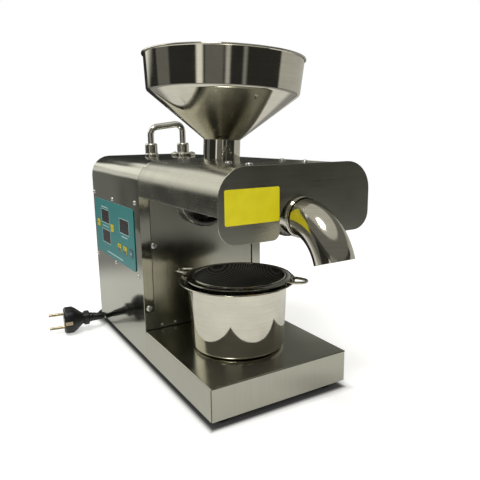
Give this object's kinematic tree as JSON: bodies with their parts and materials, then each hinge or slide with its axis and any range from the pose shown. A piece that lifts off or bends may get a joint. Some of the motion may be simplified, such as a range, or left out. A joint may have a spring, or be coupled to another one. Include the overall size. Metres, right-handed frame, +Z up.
{
  "type": "screw oil press",
  "caption": "Stainless table-top oil press: motor-driven screw in a heated barrel, with hopper, catch pot, strainer and cake outlet.",
  "frame": {"origin": "on the surface the press stands on, under the middle of its outline without the mains cord", "axes": "+Z up, +Y towards the rear, so the cake outlet is at -Y and the control panel faces -X"},
  "size_m": [0.2453, 0.5774, 0.3461],
  "materials": {
    "brushed_stainless": "brushed, fine straight grain",
    "polished_stainless": "polished to a mirror",
    "machined_steel": "turned, bright",
    "zinc_plated_steel": "zinc plated, dull",
    "gear_steel": "oiled, hardened",
    "steel_gauze": "woven fine wire, dark",
    "cast_iron": "cast, machined faces",
    "brass": "satin",
    "plated_brass": "dull plated",
    "black_rubber": "matt",
    "black_plastic": "fine texture",
    "black_painted_metal": "semi-gloss",
    "teal_film": "printed film, satin",
    "yellow_film": "printed film, satin",
    "grey_film": "printed film, satin",
    "circuit_board": "lacquered"
  },
  "bodies": {
    "press_body": {"barrel_flange": "machined_steel", "base_tray": "brushed_stainless", "bottom_plate": "zinc_plated_steel", "cabinet_cover": "brushed_stainless", "cake_nozzle": "machined_steel", "control_board": "circuit_board", "control_overlay": "teal_film", "cord_coil": "black_rubber", "cord_gland": "black_rubber", "cord_lead": "black_rubber", "cord_tail": "black_rubber", "feed_throat": "brushed_stainless", "foot_front_left": "black_rubber", "foot_front_right": "black_rubber", "foot_rear_left": "black_rubber", "foot_rear_right": "black_rubber", "front_bearing": "gear_steel", "front_panel": "brushed_stainless", "front_plate": "brushed_stainless", "gearbox_housing": "cast_iron", "handle_ferrule_left": "polished_stainless", "handle_ferrule_right": "polished_stainless", "head_bracket": "zinc_plated_steel", "head_cover": "brushed_stainless", "heater_band": "brass", "lifting_handle": "polished_stainless", "motor_cradle": "zinc_plated_steel", "motor_housing": "black_painted_metal", "mounting_plate": "zinc_plated_steel", "outlet_collar": "polished_stainless", "outlet_elbow": "polished_stainless", "plug_body": "black_plastic", "plug_boot": "black_plastic", "plug_earth_clip": "plated_brass", "plug_pins": "plated_brass", "press_barrel": "cast_iron", "rear_bearing": "gear_steel", "rear_panel": "brushed_stainless", "switch_body": "black_plastic", "temperature_probe": "brass"},
    "screw_drive": {"press_screw": "cast_iron", "output_shaft": "gear_steel", "output_gear": "gear_steel"},
    "lay_train": {"lay_gear": "gear_steel"},
    "motor_drive": {"motor_rotor": "gear_steel", "motor_pinion": "brass", "cooling_fan": "black_plastic"},
    "key_level_up_cap": {"key_level_up": "yellow_film"},
    "key_level_down_cap": {"key_level_down": "yellow_film"},
    "key_forward_cap": {"key_forward": "yellow_film"},
    "key_reverse_cap": {"key_reverse": "yellow_film"},
    "key_stop_cap": {"key_stop": "grey_film"},
    "rocker": {"switch_rocker": "black_plastic"},
    "hopper_body": {"hopper": "polished_stainless"},
    "pot": {"oil_pot": "polished_stainless"},
    "strainer": {"strainer_ring": "polished_stainless", "strainer_mesh": "steel_gauze", "strainer_handle_left": "polished_stainless", "strainer_handle_right": "polished_stainless"}
  },
  "joints": [
    {"name": "screw_spin", "type": "hinge", "parent": "press_body", "child": "screw_drive", "pos_m": [0, -0.05319, 0.1945], "axis": [0, 1, 0], "continuous": true},
    {"name": "lay_spin", "type": "hinge", "parent": "press_body", "child": "lay_train", "pos_m": [0, 0.05681, 0.148], "axis": [0, 1, 0], "continuous": true},
    {"name": "motor_spin", "type": "hinge", "parent": "press_body", "child": "motor_drive", "pos_m": [0, 0.11681, 0.1055], "axis": [0, 1, 0], "continuous": true},
    {"name": "key_level_up_press", "type": "slide", "parent": "press_body", "child": "key_level_up_cap", "axis": [1, 0, 0], "range_m": [0, 0.0005], "stiffness_N_per_m": 400},
    {"name": "key_level_down_press", "type": "slide", "parent": "press_body", "child": "key_level_down_cap", "axis": [1, 0, 0], "range_m": [0, 0.0005], "stiffness_N_per_m": 400},
    {"name": "key_forward_press", "type": "slide", "parent": "press_body", "child": "key_forward_cap", "axis": [1, 0, 0], "range_m": [0, 0.0005], "stiffness_N_per_m": 400},
    {"name": "key_reverse_press", "type": "slide", "parent": "press_body", "child": "key_reverse_cap", "axis": [1, 0, 0], "range_m": [0, 0.0005], "stiffness_N_per_m": 400},
    {"name": "key_stop_press", "type": "slide", "parent": "press_body", "child": "key_stop_cap", "axis": [1, 0, 0], "range_m": [0, 0.0005], "stiffness_N_per_m": 400},
    {"name": "rocker_tip", "type": "hinge", "parent": "press_body", "child": "rocker", "pos_m": [-0.04, 0.21511, 0.042], "axis": [1, 0, 0], "range_deg": [0, 10.5]},
    {"name": "hopper_lift", "type": "slide", "parent": "press_body", "child": "hopper_body", "axis": [0, 0, 1], "range_m": [0, 0.045]},
    {"name": "pot_slide", "type": "slide", "parent": "press_body", "child": "pot", "axis": [0, -1, 0], "range_m": [0, 0.075]},
    {"name": "strainer_lift", "type": "slide", "parent": "pot", "child": "strainer", "axis": [0, 0, 1], "range_m": [0, 0.038]}
  ],
  "couplings": [
    {"joint": "lay_spin", "follows": "screw_spin", "ratio": -4.1667},
    {"joint": "motor_spin", "follows": "screw_spin", "ratio": 19.444}
  ]
}
